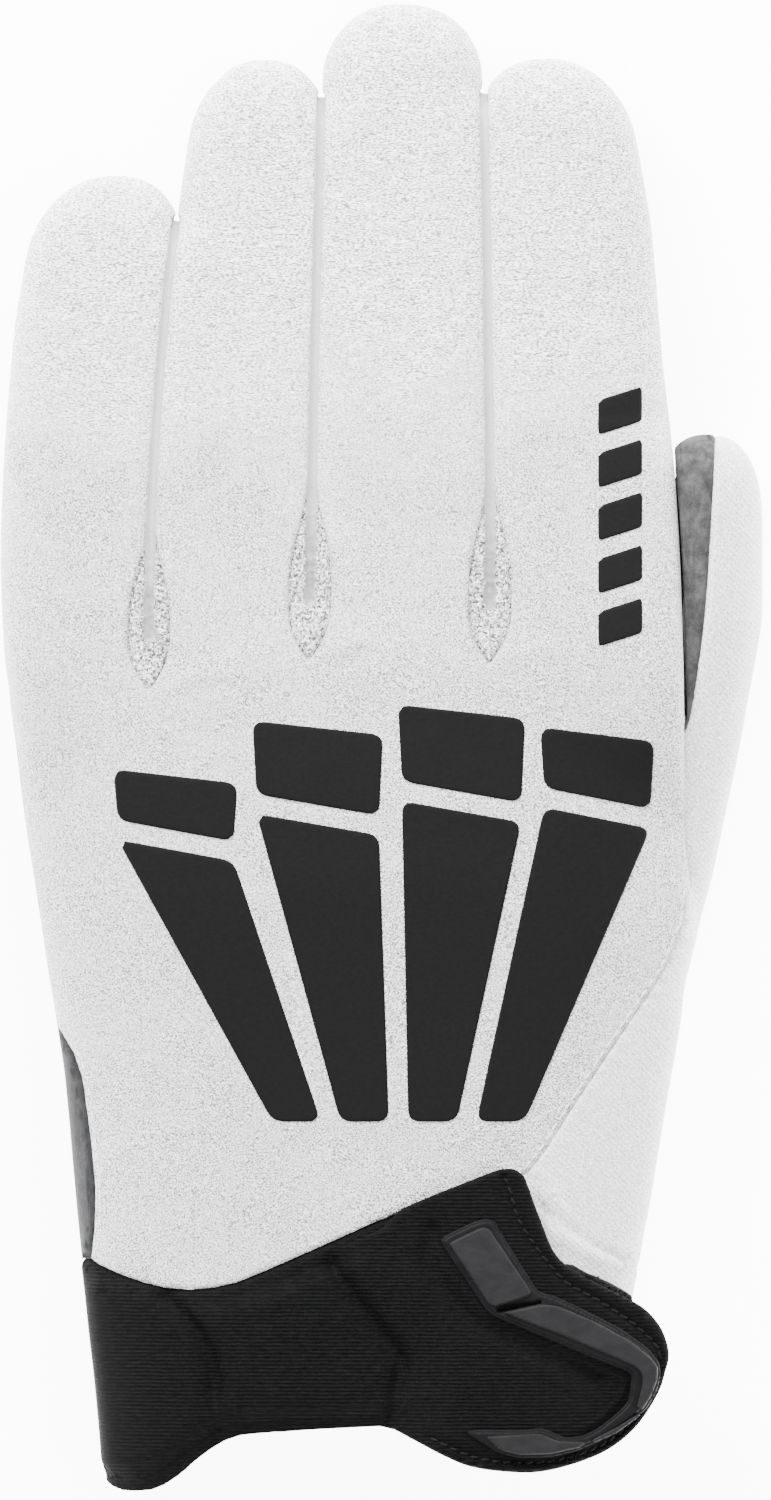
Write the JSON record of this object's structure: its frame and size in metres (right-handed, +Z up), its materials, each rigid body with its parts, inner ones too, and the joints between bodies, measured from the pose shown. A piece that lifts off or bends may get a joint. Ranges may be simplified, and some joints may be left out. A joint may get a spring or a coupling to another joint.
{
  "type": "motorcycle glove",
  "caption": "Light off-road riding glove for the left hand, lying palm down, with a knit back, suede palm, ribbed wrist band and a wrist strap with a moulded pull",
  "frame": {"origin": "centre of the bounding box's lower face, on the surface that the glove lies on", "axes": "+Y from the wrist to the fingertips, +Z up from the palm to the back of the hand, +X to the thumb"},
  "size_m": [0.1176, 0.2305, 0.032],
  "materials": {
    "white_knit": "fine white knit",
    "white_stretch": "smooth white stretch cloth",
    "white_terry": "white looped stretch cloth",
    "grey_suede": "mid grey synthetic suede",
    "dark_suede": "dark grey synthetic suede",
    "black_knit": "black ribbed knit",
    "black_tape": "black hook-and-loop tape",
    "grey_rubber": "matt dark grey rubber",
    "black_print": "raised matt black print"
  },
  "bodies": {
    "root": {"back_panel": "white_knit", "thumb_panel": "white_stretch", "thumb_inner": "grey_suede", "palm_panel": "dark_suede", "fourchette_little_ring": "white_terry", "fourchette_ring_middle": "white_terry", "fourchette_middle_index": "white_terry", "cuff_band": "black_knit", "cuff_palm": "black_knit", "closure_strap": "black_knit", "grip_moulding": "grey_rubber", "fastener_patch": "black_tape", "print_ray_1": "black_print", "print_ray_2": "black_print", "print_ray_3": "black_print", "print_ray_4": "black_print", "print_knuckle_1": "black_print", "print_knuckle_2": "black_print", "print_knuckle_3": "black_print", "print_knuckle_4": "black_print", "side_bar_1": "black_print", "side_bar_2": "black_print", "side_bar_3": "black_print", "side_bar_4": "black_print", "side_bar_5": "black_print"}
  },
  "joints": []
}
